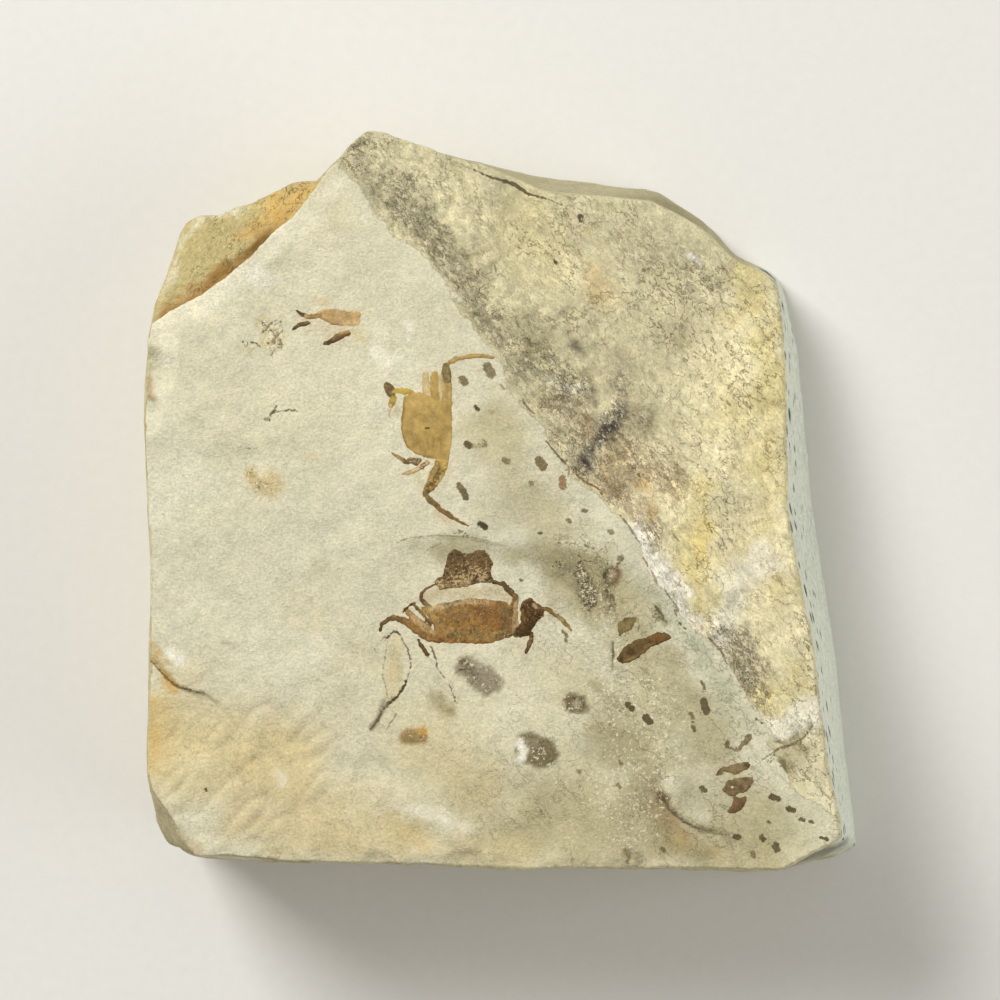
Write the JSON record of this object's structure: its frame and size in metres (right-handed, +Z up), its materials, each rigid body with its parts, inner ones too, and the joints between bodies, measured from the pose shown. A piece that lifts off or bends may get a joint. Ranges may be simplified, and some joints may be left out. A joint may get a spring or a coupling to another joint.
{
  "type": "fossil crab",
  "caption": "Hand-sized block of pale bedded mudstone with flattened fossil crabs and flakes of crab skin on its upper bedding face. It lies flat on its cleaved back.",
  "frame": {"origin": "middle of the block's outline, on the flat underside that it rests on", "axes": "+Z up out of the bedding face that bears the fossils, +Y toward the pointed top of the specimen, +X toward the smooth right side"},
  "size_m": [0.0743, 0.0763, 0.0266],
  "materials": {
    "mudstone": "matte",
    "dark_cuticle": "satin",
    "golden_cuticle": "satin",
    "tan_cuticle": "matte"
  },
  "bodies": {
    "root": {"mudstone_block": "mudstone", "lower_crab": "dark_cuticle", "upper_crab": "golden_cuticle", "shell_fragment": "tan_cuticle", "leg_fragment_left": "dark_cuticle", "leg_fragment_right": "dark_cuticle", "long_flake": "dark_cuticle", "ribbed_flake": "dark_cuticle", "claw_flake_top": "dark_cuticle", "claw_flake_middle": "dark_cuticle", "claw_flake_bottom": "dark_cuticle"}
  },
  "joints": []
}
